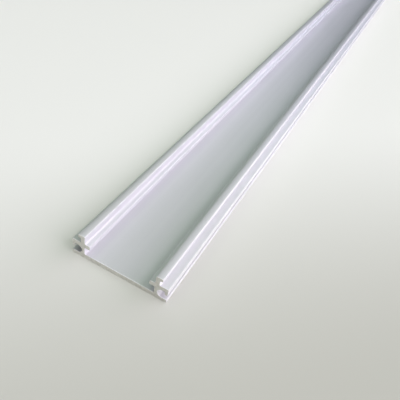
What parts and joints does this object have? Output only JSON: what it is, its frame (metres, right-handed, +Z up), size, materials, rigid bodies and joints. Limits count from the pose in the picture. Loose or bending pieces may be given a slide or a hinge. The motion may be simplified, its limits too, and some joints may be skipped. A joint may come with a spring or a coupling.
{
  "type": "led profile",
  "caption": "Shallow aluminium channel for an LED strip, with ledges over board slots, beads for a clip-on cover and clip grooves in its outer sides.",
  "frame": {"origin": "middle of the underside, halfway along the bar", "axes": "+X across the channel, +Y along it, +Z up out of the channel's open side"},
  "size_m": [0.03, 0.5, 0.0082],
  "materials": {
    "aluminium": "satin natural anodised, with raw sawn ends"
  },
  "bodies": {
    "root": {"profile": "aluminium"}
  },
  "joints": []
}
